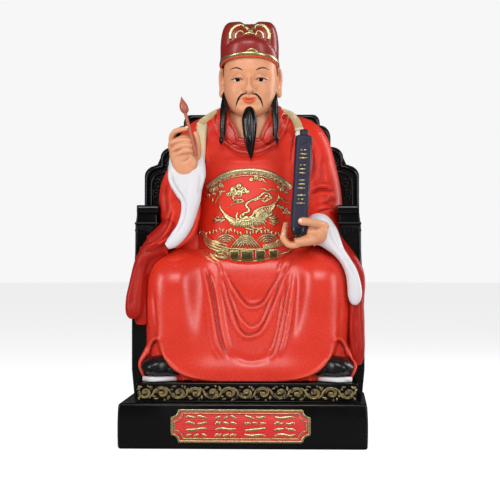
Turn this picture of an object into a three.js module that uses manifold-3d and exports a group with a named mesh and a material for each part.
// A seated deity statue cast in resin: a bearded official in a wide-sleeved robe on a high-backed throne,
// with a writing brush in the raised right hand and an upright scroll in the left, on a slab plinth.
// Millimetres, +Z up, the figure facing -Y, the origin in the middle of the plinth's underside.
import * as THREE from "three";
import { mergeVertices } from "three/addons/utils/BufferGeometryUtils.js";
import Module from "manifold-3d";

const wasm = await Module();
wasm.setup();

// Driving dimensions
const PLINTH = { width: 240, front: -78, back: 80, height: 43.5, round: 2 };
const PLATE = { width: 134, height: 32, thick: 2, middle: [-2, 22.4], bite: 7, rim: 2.2 };
const SEATED_AT = 3; // the throne and figure stand this far to the right of the plinth's middle
const GAP = 0.3; // clearance between pieces that touch
const FOOTREST = { half: 107, front: -65, top: 62.7 };
const SEAT = { half: 99, front: -25, top: 125 };
const ARM = { inside: 96, outside: 110.5, flare: 4, front: -35, top: 235, roll: 5.5 };
const BACK = { front: 52, thick: 13, top: 330, half: 111, ear: 279 };
const KNEE = { apart: 69, leftTop: 180, rightTop: 190 };
const HEM = FOOTREST.top + GAP;
const SHOE = { half: 11, turnedOut: 50, toe: [92, -56] };
const FINGER = 2.9; // a finger's half thickness
const BRUSH = { tip: [-64.5, -49, 341], end: [-49.5, -53.5, 283], shaft: 1.8, head: 3.9, headLength: 17 };
const SCROLL = { foot: [50.3, -57, 212], top: [55.4, -46, 302], half: 8.4, deep: 6.2, knob: 4 };

const RED = new THREE.MeshStandardMaterial({ color: 0xd8321f, roughness: 0.42, metalness: 0 });
const BLACK = new THREE.MeshStandardMaterial({ color: 0x14100f, roughness: 0.3, metalness: 0 });
const COPPER = new THREE.MeshStandardMaterial({ color: 0xb0503a, roughness: 0.4, metalness: 0.4 });
const NAVY = new THREE.MeshStandardMaterial({ color: 0x262148, roughness: 0.55, metalness: 0 });
const GOLD = new THREE.MeshStandardMaterial({ color: 0xb89a52, roughness: 0.35, metalness: 0.8 });

const clamp = THREE.MathUtils.clamp;
const smooth = THREE.MathUtils.smoothstep;

// A table whose rows start with a position, read at any position between them.
function reader(table) {
  const size = table[0].length - 1;
  const places = new Float32Array(table.map((row) => row[0]));
  const values = new Float32Array(table.flatMap((row) => row.slice(1)));
  const cubic = new THREE.CubicInterpolant(places, values, size, new Float32Array(size));
  return (place) => [...cubic.evaluate(clamp(place, table[0][0], table[table.length - 1][0]))];
}

// A closed solid from a geometry whose shared corners are merged.
function solid(geometry) {
  const loose = geometry.index ? geometry.toNonIndexed() : geometry;
  const bare = new THREE.BufferGeometry().setAttribute("position", loose.getAttribute("position"));
  const merged = mergeVertices(bare, 1e-4);
  const vertProperties = merged.attributes.position.array;
  return new wasm.Manifold(new wasm.Mesh({ numProp: 3, vertProperties, triVerts: new Uint32Array(merged.index.array) }));
}

// A closed skin over rings of equal count, with a fan at each end.
function skin(rings) {
  const count = rings[0].length;
  const middle = (ring) => ring.reduce((sum, p) => sum.add(p), new THREE.Vector3()).divideScalar(count);
  const points = [...rings.flat(), middle(rings[0]), middle(rings[rings.length - 1])];
  const faces = [];
  const [low, high] = [points.length - 2, points.length - 1];
  const last = (rings.length - 1) * count;
  for (let i = 0; i < count; i++) {
    const next = (i + 1) % count;
    faces.push(low, next, i, high, last + i, last + next);
    for (let start = 0; start < last; start += count)
      faces.push(start + i, start + next, start + count + next, start + i, start + count + next, start + count + i);
  }
  return solid(new THREE.BufferGeometry().setFromPoints(points).setIndex(faces));
}

const bulge = (value, power) => Math.sign(value) * Math.abs(value) ** (2 / power);

// One ring round a middle point, along two half axes.
function ring(middle, wide, deep, sides, power = 2) {
  return Array.from({ length: sides }, (_, i) => {
    const turn = (i / sides) * 2 * Math.PI;
    return middle.clone().addScaledVector(wide, bulge(Math.cos(turn), power)).addScaledVector(deep, bulge(Math.sin(turn), power));
  });
}

// A stack of level rings from rows of height, middle x, middle y, half width and half depth.
function stack(table, { levels, sides, power = 2 }) {
  const read = reader(table);
  const [low, high] = [table[0][0], table[table.length - 1][0]];
  return skin(Array.from({ length: levels }, (_, i) => {
    const height = low + ((high - low) * i) / (levels - 1);
    const [x, y, wide, deep] = read(height);
    return ring(new THREE.Vector3(x, y, height), new THREE.Vector3(wide, 0, 0), new THREE.Vector3(0, deep, 0), sides, power);
  }));
}

// A limb swept through stations of x, y, z, half width and half depth; depth lies nearest to the way given.
function limb(stations, { steps = 7, sides = 10, way = [0, 1, 0], power = 2 } = {}) {
  const path = new THREE.CatmullRomCurve3(stations.map(([x, y, z]) => new THREE.Vector3(x, y, z)));
  const sizes = new THREE.CatmullRomCurve3(stations.map(([, , , wide, deep]) => new THREE.Vector3(wide, deep ?? wide, 0)));
  return skin(Array.from({ length: steps + 1 }, (_, i) => {
    const ahead = path.getTangent(i / steps);
    const deep = new THREE.Vector3(...way).addScaledVector(ahead, -ahead.dot(new THREE.Vector3(...way))).normalize();
    const wide = deep.clone().cross(ahead);
    const size = sizes.getPoint(i / steps);
    return ring(path.getPoint(i / steps), wide.multiplyScalar(size.x), deep.multiplyScalar(size.y), sides, power);
  }));
}

// A bead of one thickness along a path, with blunt ends.
const bead = (points, radius, steps = 8, sides = 5) =>
  limb(points.map((p) => [...p, radius]), { steps, sides });

function ball([x, y, z], [rx, ry, rz], wide = 12, high = 8) {
  return solid(new THREE.SphereGeometry(1, wide, high).rotateX(Math.PI / 2).scale(rx, ry, rz).translate(x, y, z));
}

function block([x0, y0, z0], [x1, y1, z1]) {
  return solid(new THREE.BoxGeometry(x1 - x0, y1 - y0, z1 - z0).translate((x0 + x1) / 2, (y0 + y1) / 2, (z0 + z1) / 2));
}

// An outline drawn in X and Z, as thick as from front to back along Y.
function slab(shape, front, back, [x, z] = [0, 0]) {
  const drawn = new THREE.ExtrudeGeometry(shape, { depth: back - front, curveSegments: 3, bevelEnabled: false });
  return solid(drawn.rotateX(Math.PI / 2).translate(x, back, z));
}

const join = (parts) => parts.reduce((sum, part) => sum.add(part));

function meshOf(made, name, material) {
  const { vertProperties, triVerts, numProp } = made.getMesh();
  const positions = new Float32Array((vertProperties.length / numProp) * 3);
  for (let i = 0; i < positions.length / 3; i++)
    positions.set(vertProperties.subarray(i * numProp, i * numProp + 3), i * 3);
  const geometry = new THREE.BufferGeometry().setAttribute("position", new THREE.BufferAttribute(positions, 3));
  geometry.setIndex(new THREE.BufferAttribute(triVerts, 1));
  const mesh = new THREE.Mesh(geometry, material);
  mesh.name = name;
  return mesh;
}

// Plinth: a plain slab with its upright corners rounded.
function plinth() {
  const { width, front, back, height, round } = PLINTH;
  const half = width / 2;
  const plan = new THREE.Shape();
  plan.moveTo(-half + round, front).lineTo(half - round, front);
  plan.absarc(half - round, front + round, round, -Math.PI / 2, 0);
  plan.lineTo(half, back - round).absarc(half - round, back - round, round, 0, Math.PI / 2);
  plan.lineTo(-half + round, back).absarc(-half + round, back - round, round, Math.PI / 2, Math.PI);
  plan.lineTo(-half, front + round).absarc(-half + round, front + round, round, Math.PI, 1.5 * Math.PI);
  return solid(new THREE.ExtrudeGeometry(plan, { depth: height, bevelEnabled: false, curveSegments: 3 }));
}

// A plate outline with a quarter circle bitten out of each corner.
function plateOutline(halfWidth, halfHeight, bite) {
  const shape = new THREE.Shape();
  const corners = [[1, -1, Math.PI, Math.PI / 2], [1, 1, 1.5 * Math.PI, Math.PI],
    [-1, 1, 2 * Math.PI, 1.5 * Math.PI], [-1, -1, Math.PI / 2, 0]];
  for (const [sx, sz, from, to] of corners)
    shape.absarc(sx * halfWidth, sz * halfHeight, bite, from, to, true);
  return shape;
}

// Name plate: a thin plate with a raised rim, and four clusters of short strokes that are no letters.
function namePlate() {
  const { width, height, thick, middle, bite, rim } = PLATE;
  const front = PLINTH.front - thick;
  const ground = front + 0.8;
  const outer = slab(plateOutline(width / 2, height / 2, bite), front, PLINTH.front - GAP, middle);
  const field = slab(plateOutline(width / 2 - rim, height / 2 - rim, bite), front - 1, ground, middle);
  const strokes = [];
  for (let cluster = 0; cluster < 4; cluster++)
    for (let row = 0; row < 3; row++) {
      const x = middle[0] + (cluster - 1.5) * 28 + (row - 1) * 3;
      const z = middle[1] + (row - 1) * 6;
      const lean = cluster % 2 ? 2.5 : -2.5;
      strokes.push(bead([[x - 6, ground, z - lean], [x + 6, ground, z + lean]], 0.75, 1, 4));
    }
  return join([outer.subtract(field), ...strokes]);
}

// One half of the throne back's outline, as stepped lobes from the top middle down to the floor of the throne.
function backOutline() {
  const { top, half, ear } = BACK;
  const base = PLINTH.height + GAP;
  const lobes = [[63, top, 70, top - 9], [70, top - 11, 81, top - 24], [81, top - 33, 94, top - 44],
    [94, ear, 110, ear - 12]];
  const side = [];
  for (const [x0, z0, x1, z1] of lobes)
    for (let i = 0; i <= 4; i++) {
      const turn = (i / 4) * (Math.PI / 2);
      side.push([x0 + (x1 - x0) * Math.sin(turn), z1 + (z0 - z1) * Math.cos(turn)]);
    }
  side.push([half, base]);
  const all = [...side, ...side.map(([x, z]) => [-x, z]).reverse()];
  return new THREE.Shape(all.map(([x, z]) => new THREE.Vector2(x, z)));
}

// One arm of the throne seen from the front: it flares a little towards the foot and carries a roll on top.
function armOutline(side, grow) {
  const { inside, outside, flare, top } = ARM;
  const base = PLINTH.height + GAP;
  const points = [[inside, base], [outside + 1, base], [outside + flare, base + 30], [outside + flare, base + 80],
    [outside, top - 30], [outside, top - 12], [outside - 2.5, top - 9], [outside - 2.5, top],
    [88, top], [88, top - 9], [inside - 5, top - 12], [inside - 5, 150]];
  const grown = points.map(([x, z]) => [x + (x > 100 ? grow : -grow), z + (z > top - 1 ? grow : 0)]);
  return new THREE.Shape(grown.map(([x, z]) => new THREE.Vector2(side * x, z)));
}

const arms = (grow = 0) =>
  join([1, -1].map((side) => slab(armOutline(side, grow), ARM.front - grow, BACK.front + 2)));

const seat = (grow = 0) =>
  block([-SEAT.half, SEAT.front - grow, PLINTH.height + GAP], [SEAT.half, BACK.front + 2, SEAT.top + grow]);

const footrest = (grow = 0) =>
  block([-FOOTREST.half, FOOTREST.front, PLINTH.height + GAP], [FOOTREST.half, SEAT.front + 1, FOOTREST.top + grow]);

const back = (grow = 0) => slab(backOutline(), BACK.front - grow, BACK.front + BACK.thick);

// The running scroll on the front of the footrest: spirals that open to alternate sides, joined by leaf sprays.
function footrestScroll() {
  const parts = [];
  const [count, middle, reach] = [8, (PLINTH.height + FOOTREST.top) / 2 + 0.3, 6.2];
  const pitch = (2 * FOOTREST.half - 14) / count;
  for (let i = 0; i < count; i++) {
    const x = (i - (count - 1) / 2) * pitch;
    const up = i % 2 ? 1 : -1;
    const path = Array.from({ length: 7 }, (_, k) => {
      const turn = (k / 6) * 1.6 * Math.PI;
      const r = reach * (1 - 0.62 * (k / 6));
      return [x - r * 1.35 * Math.cos(turn), FOOTREST.front - 0.2, middle + up * r * Math.sin(turn)];
    });
    parts.push(bead(path, 1.4, 6, 3));
  }
  return parts;
}

// The arched border and the curled carving on each ear of the throne back.
function earCarving(side) {
  const front = BACK.front;
  const arch = (inset, radius) => bead([[side * (107 - inset), front, 238], [side * (106.5 - inset), front, 262],
    [side * (102 - inset), front, 271 - inset * 0.8], [side * (94 - inset * 0.4), front, 274.5 - inset],
    [side * 84, front, 272 - inset]], radius, 6, 4);
  const curl = bead(Array.from({ length: 6 }, (_, k) => {
    const turn = (k / 5) * 1.7 * Math.PI;
    const size = 5 - 0.5 * k;
    return [side * (93 + size * Math.cos(turn)), front, 256 + size * Math.sin(turn)];
  }), 1.1, 5, 4);
  return [arch(0, 1.8), arch(6, 1.3), curl];
}

// The roll across the front end of each arm.
const armRolls = (grow = 0) =>
  join([1, -1].map((side) => bead([[side * (87 - grow), ARM.front, ARM.top - ARM.roll],
    [side * (ARM.outside - 0.5), ARM.front, ARM.top - ARM.roll]], ARM.roll + grow, 1, 10)));

const throne = () =>
  join([footrest(), seat(), arms(), back(), armRolls(), ...footrestScroll(), ...earCarving(1), ...earCarving(-1)]);

// The robe over the legs. Its front is one surface over x and z: two knees with a valley of looped folds between.
const kneeFront = reader([[0, 60], [27, 57], [67, 58], [87, 58], [99, 55], [109, 47], [115, 38], [118, 30], [121, 26]]);
const valleyFront = reader([[63, 60], [75, 58], [90, 53], [110, 49], [135, 46], [160, 43], [180, 38], [192, 26]]);
const skirtHalf = reader([[63, 97], [75, 100], [100, 98], [150, 98], [165, 96], [178, 91], [192, 84]]);

function skirtFront(x, z) {
  const far = Math.abs(x);
  const lift = (x > 0 ? KNEE.rightTop - KNEE.leftTop : 0) * smooth(z, 90, 170);
  const [knee] = kneeFront(z - HEM - lift);
  const [valley] = valleyFront(z);
  const [half] = skirtHalf(z);
  if (far > KNEE.apart) {
    const across = clamp((far - KNEE.apart) / (half - KNEE.apart), 0, 1);
    return -26 - (knee - 26) * (1 - across ** 2.4) ** (1 / 2.4);
  }
  const rise = Math.cos((Math.PI / 2) * clamp((KNEE.apart - far) / 36, 0, 1)) ** 2;
  return -(valley + (knee - valley) * rise);
}

function skirt() {
  const across = 28;
  const levels = 9;
  const top = KNEE.rightTop + 1;
  const rings = Array.from({ length: levels }, (_, row) => {
    const z = HEM + ((top - HEM) * row) / (levels - 1);
    const [half] = skirtHalf(z);
    const front = Array.from({ length: across + 1 }, (_, i) => {
      const x = half * Math.sin((Math.PI / 2) * ((2 * i) / across - 1) * 0.98) / Math.sin((Math.PI / 2) * 0.98);
      return new THREE.Vector3(x, skirtFront(x, z), z);
    });
    const behind = [1, 0.5, 0, -0.5, -1].map((share) => new THREE.Vector3(half * share * 0.96, 6, z));
    return [...front, ...behind];
  });
  return skin(rings);
}

// One fold of cloth lying on the skirt: a ridge that dies away at both ends.
function fold(points, wide = 4) {
  const last = points.length - 1;
  const sizes = points.map((_, i) => wide * (0.25 + 0.75 * Math.sin((Math.PI * i) / last)));
  const stations = points.map(([x, z], i) => [x, skirtFront(x, z) + sizes[i] * 0.25, z, sizes[i], sizes[i] * 0.85]);
  return limb(stations, { steps: 6, sides: 4 });
}

// Loops of cloth that hang between the knees, and the folds that run down beside them.
function skirtFolds() {
  const loops = [[135, 178, 34], [109, 172, 41], [88, 160, 48]].map(([bottom, top, half]) => {
    const shoulder = bottom + 0.34 * (top - bottom);
    return fold([[-half, top], [-0.74 * half, shoulder], [1, bottom], [0.78 * half, shoulder], [half + 3, top + 3]]);
  });
  const falls = [-1, 1].flatMap((side) => [
    fold([[side * 56, 172], [side * 50, 135], [side * 36, 100], [side * 22, 76]], 4.5),
    fold([[side * 85, 160], [side * 84, 130], [side * 78, 104], [side * 70, 84]], 3.5)]);
  return [...loops, ...falls];
}

// Thighs from the hips forward to the knees, above the seat.
const thigh = (side, top) =>
  limb([[side * 42, 30, 150, 30, 26], [side * 56, 0, 152, 32, top - 152], [side * KNEE.apart, -30, 152, 29, top - 152],
    [side * KNEE.apart, -50, 150, 18, top - 166]], { steps: 4, sides: 10, way: [0, 0, 1] });

const torsoTable = [[127, 12, 60, 40], [160, 8, 62, 44], [180, 4, 57, 44], [205, 3, 55, 45], [232, 4, 54, 43],
  [262, 8, 56, 38], [288, 12, 60, 32], [306, 13, 57, 27], [320, 12, 44, 23], [332, 9, 28, 19]];
const torsoAt = reader(torsoTable);
const TORSO_POWER = 2.3;

const torso = () =>
  stack(torsoTable.map(([z, y, wide, deep]) => [z, 0, y, wide, deep]), { levels: 9, sides: 20, power: TORSO_POWER });

// Where the chest and belly meet a line of sight from the front.
function chestFront(x, z) {
  const [y, wide, deep] = torsoAt(z);
  return y - deep * (1 - clamp(Math.abs(x) / wide, 0, 0.98) ** TORSO_POWER) ** (1 / TORSO_POWER);
}

const onChest = (points, proud) => points.map(([x, z]) => [x, chestFront(x, z) - proud, z]);

// Arms: the left one bends across the belly, the right one lifts the hand beside the shoulder.
function robeArms() {
  const left = limb([[44, 13, 304, 20, 18], [60, 12, 296, 25, 22], [74, 9, 270, 24, 22], [82, 3, 240, 22, 22],
    [82, -8, 220, 21, 20], [76, -24, 212, 17, 16], [68, -38, 209, 13, 12]], { steps: 7, sides: 10 });
  const right = limb([[-42, 13, 302, 20, 18], [-56, 12, 293, 24, 22], [-68, 7, 268, 22, 22], [-73, -4, 238, 20, 21],
    [-72, -18, 222, 20, 18], [-68, -30, 238, 18, 14], [-64, -38, 258, 17, 9]], { steps: 7, sides: 10 });
  return [left, right];
}

// The right sleeve hangs from the raised wrist over the arm of the throne, and ends in a long lobe outside it.
function rightSleeve() {
  const fall = limb([[-63, -37, 268, 17, 8], [-68, -30, 242, 22, 17], [-73, -28, 216, 25, 20], [-82, -30, 196, 30, 18],
    [-92, -33, 180, 26, 14], [-102, -36, 164, 18, 10]], { steps: 6, sides: 12 });
  const lobe = limb([[-98, -32, 190, 14, 9], [-108, -39, 170, 15, 8], [-111.5, -43, 148, 12, 8], [-113, -45, 127, 10.5, 8],
    [-114, -45, 115, 6, 5], [-114, -45, 111.5, 2, 2]], { steps: 6, sides: 8 });
  const cuff = limb([[-62, -44, 268, 18, 8], [-60, -47, 248, 13, 8], [-58, -50, 230, 9, 7], [-63, -51, 213, 9, 6],
    [-72, -52, 199, 6.5, 5], [-77.5, -52, 191, 2, 2.5]], { steps: 6, sides: 8 });
  return [fall, lobe, cuff];
}

// The left sleeve opens towards the knee: a pale cuff band, the outer sleeve round it, and a lobe to the floor.
function leftSleeve() {
  const cuff = limb([[66, -38, 214, 11, 13], [76, -40, 210, 10, 15], [87, -43, 193, 8, 11], [96, -46, 174, 7, 8],
    [102.5, -48, 156, 7, 7], [105, -48, 138, 2.5, 3]], { steps: 6, sides: 8 });
  const fall = limb([[78, -16, 218, 19, 20], [93, -24, 198, 15, 18], [102, -31, 176, 13, 13], [106, -35, 154, 11, 10],
    [106.5, -37, 134, 10, 8]], { steps: 5, sides: 10 });
  const lobe = limb([[106, -38, 150, 11, 7], [107, -41, 124, 10, 8], [107.5, -43, 102, 9, 8], [108, -43, 87, 6.5, 6],
    [108, -43, 80, 2, 2]], { steps: 5, sides: 8 });
  return [cuff, fall, lobe];
}

const finger = (points, radius = FINGER) =>
  limb([...points.map((p) => [...p, radius]), [...points[points.length - 1].map((v, i) =>
    v + 0.35 * (v - points[points.length - 2][i])), radius * 0.45]], { steps: 4, sides: 5 });

function rightHand() {
  const palm = limb([[-62, -41, 256, 8, 6], [-62, -43, 268, 11.5, 7.5], [-63, -44, 284, 12.5, 8], [-64, -43, 299, 10, 5]],
    { steps: 3, sides: 8, power: 2.4 });
  const index = finger([[-73, -44, 294], [-74, -48, 303], [-69, -51.5, 309.5], [-60, -52.5, 309.5]]);
  const thumb = finger([[-51, -42, 272], [-48.5, -45, 286], [-50, -48.5, 298], [-54, -50, 305]], 3.1);
  const curled = [0, 1, 2].map((i) => finger([[-74 + i, -45, 296 - 7 * i], [-70, -51.5, 299 - 7 * i],
    [-62, -54, 298 - 7.2 * i], [-57, -50, 296 - 7.2 * i]]));
  return [palm, index, thumb, ...curled];
}

function leftHand() {
  const palm = limb([[84, -36, 208, 9, 8], [74, -42, 205, 11, 8.5], [62, -49, 201, 12, 8], [52, -53, 198, 12, 5.5]],
    { steps: 3, sides: 8, way: [0, 0, 1] });
  const thumb = finger([[74, -50, 211], [68, -60, 216], [60, -66, 218], [52, -66.5, 217.5]], 3.5);
  const cupped = [0, 1, 2, 3].map((i) => finger([[54, -44 - 5.2 * i, 197], [44, -44 - 5.4 * i, 195.5],
    [36.5, -45 - 5.2 * i, 200], [36, -45 - 5 * i, 209 - 1.5 * i]], 3.1));
  return [palm, thumb, ...cupped];
}

// Shoes turned outwards, with the pocket that the hem leaves round each.
function shoe(side) {
  const turn = THREE.MathUtils.degToRad(SHOE.turnedOut);
  const [x, y] = SHOE.toe;
  const at = (back, z, wide, high) => [side * (x - Math.sin(turn) * back), y + Math.cos(turn) * back, z, wide, high];
  const upper = limb([at(0, HEM + 11, 6, 6), at(6, HEM + 13, 10.5, 9.5), at(16, HEM + 14, SHOE.half, 11), at(34, HEM + 13, 9, 11)],
    { steps: 4, sides: 8, way: [0, 0, 1] });
  const sole = limb([at(-1.5, HEM + 3.2, 7, 3), at(4, HEM + 3.2, 11, 3), at(16, HEM + 3.2, SHOE.half + 1, 3),
    at(34, HEM + 3.2, 9, 3)], { steps: 3, sides: 8, way: [0, 0, 1], power: 5 });
  return [upper, sole];
}

const shoePocket = (side) => ball([side * 87, -64, HEM + 3], [19, 22, 37], 12, 8);

function neckAndHead() {
  const neck = stack([[296, 0, 2, 17, 17], [336, 0, 3, 15, 16]], { levels: 2, sides: 12 });
  const head = stack([[322.5, 1, -14, 7, 7], [327, 1, -10.5, 15, 14.5], [335, 1, -6, 21.5, 19.5], [345, 1, -3, 25.3, 23.5],
    [358, 1, -1, 26.6, 25.5], [372, 1, 0, 26.4, 26.5], [384, 1, 2, 25, 25.5]], { levels: 7, sides: 16, power: 2.25 });
  const nose = limb([[1, -22, 365, 2.2, 3], [1, -25.5, 356, 3, 4], [1, -27.5, 350, 4.4, 4.4], [1, -25, 346, 4, 2.6]],
    { steps: 4, sides: 6 });
  const lips = bead([[-6, -24.5, 339.5], [1, -28, 340.4], [8, -24.5, 339.5]], 1.7, 3, 5);
  const lids = [-1, 1].map((side) => ball([1 + side * 11, -20.3, 360.5], [6, 4.6, 3.2], 7, 4));
  const ears = [-1, 1].map((side) => limb([[1 + side * 27.5, 1, 371, 2.4, 5.5], [1 + side * 29.5, 2, 363, 2.8, 6.5],
    [1 + side * 28.6, 1, 352, 2.6, 4.6], [1 + side * 28.4, -1, 345, 2.6, 3.2]], { steps: 3, sides: 6 }));
  return [neck, head, nose, lips, ...lids, ...ears];
}

// The cap: a rounded band low in front, and behind it a taller crown in two lobes.
function cap() {
  const band = stack([[377, 0.5, 1, 27.4, 29], [384, 0.5, 1, 28.8, 30.2], [392, 0.5, 1, 28.2, 29.4], [399, 0.5, 1, 25, 25.5],
    [403.5, 0.5, 1, 17, 17]], { levels: 6, sides: 16, power: 2.2 });
  const lobes = [-1, 1].map((side) => limb([[0.5 + side * 15.5, 9, 384, 12.5, 18], [0.5 + side * 14.5, 9.5, 402, 12.6, 17],
    [0.5 + side * 13.2, 10, 413, 11, 14], [0.5 + side * 12.6, 10, 420, 5.5, 7]], { steps: 4, sides: 10, power: 2.3 }));
  const between = block([-10, 0, 384], [11, 20, 415]);
  const trim = bead([[-27.8, -2, 379.5], [-21, -19, 382], [0.5, -29.3, 384.5], [22, -19, 382], [28.8, -2, 379.5]], 1.5, 7, 4);
  const crest = bead([[-9, -28.6, 385], [-5.5, -29.3, 391], [0.5, -29.5, 393.5], [6.5, -29.3, 391], [10, -28.6, 385]], 1.4, 4, 4);
  const arcs = [-1, 1].map((side) => bead([[0.5 + side * 21.5, -3.5, 401], [0.5 + side * 19, -3, 411], [0.5 + side * 12, -0.5, 416],
    [0.5 + side * 4, -3, 411], [0.5 + side * 1, -5.5, 404]], 1.5, 5, 4));
  return [band, ...lobes, between, trim, crest, ...arcs];
}

// A lock of hair or beard with grooves, from rows like a limb's.
const lock = (stations) => limb(stations, { steps: 6, sides: 6, power: 1.7 });

function hair() {
  const goatee = lock([[1, -23, 333, 2.5, 3], [1.2, -26, 327, 5.5, 4.5], [1.5, -29, 317, 7, 5], [1.8, -31, 303, 5.6, 4.4],
    [2.6, -31.5, 290, 3, 3], [3, -30, 280, 0.8, 1]]);
  const sides = [-1, 1].map((side) => lock([[1 + side * 26.5, -7, 350, 1.6, 3], [1 + side * 27.6, -12, 336, 3, 3.4],
    [1 + side * 27, -20, 318, 3.4, 3.2], [1 + side * 27.4, -24, 305, 2.4, 2.4], [1 + side * 27, -24, 296, 0.7, 0.8]]));
  const moustache = [-1, 1].map((side) => bead([[1 + side * 2.5, -28.2, 344.8], [1 + side * 7.5, -27.4, 343],
    [1 + side * 11.5, -24.5, 338], [1 + side * 13.5, -22, 331.5]], 1.1, 3, 4));
  return [goatee, ...sides, ...moustache];
}

// The round collar, the lapels of the open outer robe, and the folded edge over the chest panel.
function dressEdges() {
  const collar = [0, 7].map((drop) => bead([[-32, 4, 330 - drop * 0.3], ...onChest([[-27 - drop * 0.3, 306 - drop],
    [-15, 291 - drop], [1.5, 286.5 - drop], [18, 291 - drop], [30 + drop * 0.3, 306 - drop]], 0.3), [35, 4, 330 - drop * 0.3]], 1.9, 7, 3));
  const lapels = [-1, 1].map((side) => limb([[side * 40, 4, 327, 4, 3], ...onChest([[side * 48, 306], [side * 50, 280],
    [side * 48, 252], [side * 46, 226]], 0.5).map((p) => [...p, 4, 3.5])], { steps: 6, sides: 4 }));
  return [...collar, ...lapels];
}

// The chest panel: an upper band, the bird with spread wings, clouds, waves, and the belt with its plaques.
function panelRelief() {
  const band = limb(onChest([[-50, 248], [-30, 261], [0, 267], [26, 262], [46, 251]], 0.2).map((p) => [...p, 1.6, 3.6]),
    { steps: 8, sides: 4, way: [0, 0, 1] });
  const line = (points, radius, steps) => bead(onChest(points, 0.3), radius, steps, 3);
  const bird = [
    line([[-26, 236], [-22, 226], [-12, 218], [0, 216], [10, 219]], 1.6, 5),
    line([[2, 219], [-1, 227], [4, 231], [3, 236], [13, 243], [20, 246]], 1.4, 7),
    line([[8, 219], [17, 226], [27, 233], [31, 242]], 1.8, 4),
    line([[6, 216], [16, 219], [26, 225]], 1.6, 3),
    line([[-18, 216], [-8, 211], [4, 209], [16, 212]], 1.6, 4),
  ];
  const clouds = [[-13, 251], [-36, 238], [8, 259], [34, 240]].map(([x, z]) =>
    ball([x, chestFront(x, z), z], [5.5, 1.8, 3.4], 6, 4));
  const waves = [-31, -9, 13].map((x) => line([[x - 9, 195], [x - 6, 201], [x + 1, 204], [x + 8, 201], [x + 11, 195]], 1.3, 4));
  const belt = limb(onChest([[-52, 203], [-36, 194], [-16, 187.5], [2, 185.5], [20, 187.5], [38, 193]], 0.4)
    .map((p) => [...p, 2.2, 6]), { steps: 8, sides: 6, way: [0, 0, 1], power: 4 });
  const plaques = [-17, -5.5, 7, 18.5].map((x) => {
    const front = chestFront(x, 185.5);
    return block([x - 4.6, front - 3.6, 181], [x + 4.6, front + 2, 190]);
  });
  return [band, ...bird, ...clouds, ...waves, belt, ...plaques];
}

function brush(grow = 0) {
  const [tip, end] = [new THREE.Vector3(...BRUSH.tip), new THREE.Vector3(...BRUSH.end)];
  const length = tip.distanceTo(end);
  const { shaft, head, headLength } = BRUSH;
  const profile = [[0, 0], [shaft + grow, 0], [shaft + grow, length - headLength - 1], [head * 0.62 + grow, length - headLength],
    [head + grow, length - headLength + 4.5], [head * 0.85 + grow, length - headLength + 8], [0, length + grow]];
  const turned = new THREE.LatheGeometry(profile.map(([r, z]) => new THREE.Vector2(r, z)), 12).rotateX(Math.PI / 2);
  turned.applyQuaternion(new THREE.Quaternion().setFromUnitVectors(new THREE.Vector3(0, 0, 1), tip.clone().sub(end).normalize()));
  return solid(turned.translate(...BRUSH.end));
}

// A rolled scroll, flattened a little, on a stepped roller that shows at both ends.
function scroll(grow = 0) {
  const [foot, top] = [new THREE.Vector3(...SCROLL.foot), new THREE.Vector3(...SCROLL.top)];
  const at = (share, wide, deep) => [...foot.clone().lerp(top, share).toArray(), wide + grow, deep + grow];
  const { half, deep, knob } = SCROLL;
  const body = (shares) => shares.map(([share, size]) => at(share, half * size, deep * size));
  const ends = [[-0.1, 0.45], [-0.06, 0.78], [-0.03, 0.86], [0, 1], [0.97, 0.98], [1, 0.82]];
  const roll = skinThrough(body(ends), 12, 2.6);
  const cap = skinThrough([at(0.99, knob, knob), at(1.05, knob, knob), at(1.07, knob * 0.7, knob * 0.7)], 8, 2);
  return roll.add(cap);
}

// Rings straight through the stations themselves, with no smoothing between them.
function skinThrough(stations, sides, power) {
  const ahead = new THREE.Vector3(...stations[stations.length - 1]).sub(new THREE.Vector3(...stations[0])).normalize();
  const deep = new THREE.Vector3(0, 1, 0).addScaledVector(ahead, -ahead.y).normalize();
  const wide = deep.clone().cross(ahead);
  return skin(stations.map(([x, y, z, a, b]) =>
    ring(new THREE.Vector3(x, y, z), wide.clone().multiplyScalar(a), deep.clone().multiplyScalar(b), sides, power)));
}

function figure() {
  const robe = join([skirt(), thigh(-1, KNEE.leftTop), thigh(1, KNEE.rightTop), torso(), ...robeArms()])
    .subtract(shoePocket(-1)).subtract(shoePocket(1));
  const dressed = join([robe, ...skirtFolds(), ...rightSleeve(), ...leftSleeve(), ...rightHand(), ...leftHand(),
    ...shoe(-1), ...shoe(1), ...neckAndHead(), ...cap(), ...hair(), ...dressEdges(), ...panelRelief()]);
  const seatedIn = join([seat(GAP), footrest(GAP), arms(GAP), armRolls(GAP), back(GAP), block([-130, -90, 0], [130, 90, HEM])]);
  return dressed.subtract(seatedIn).subtract(brush(GAP)).subtract(scroll(GAP));
}

const statue = new THREE.Group();
const seated = new THREE.Group();
seated.position.x = SEATED_AT;
seated.add(meshOf(throne(), "throne", BLACK), meshOf(figure(), "figure", RED), meshOf(brush(), "brush", COPPER),
  meshOf(scroll(), "scroll", NAVY));
statue.add(meshOf(plinth(), "plinth", BLACK), meshOf(namePlate(), "name_plate", GOLD), seated);

export default statue;
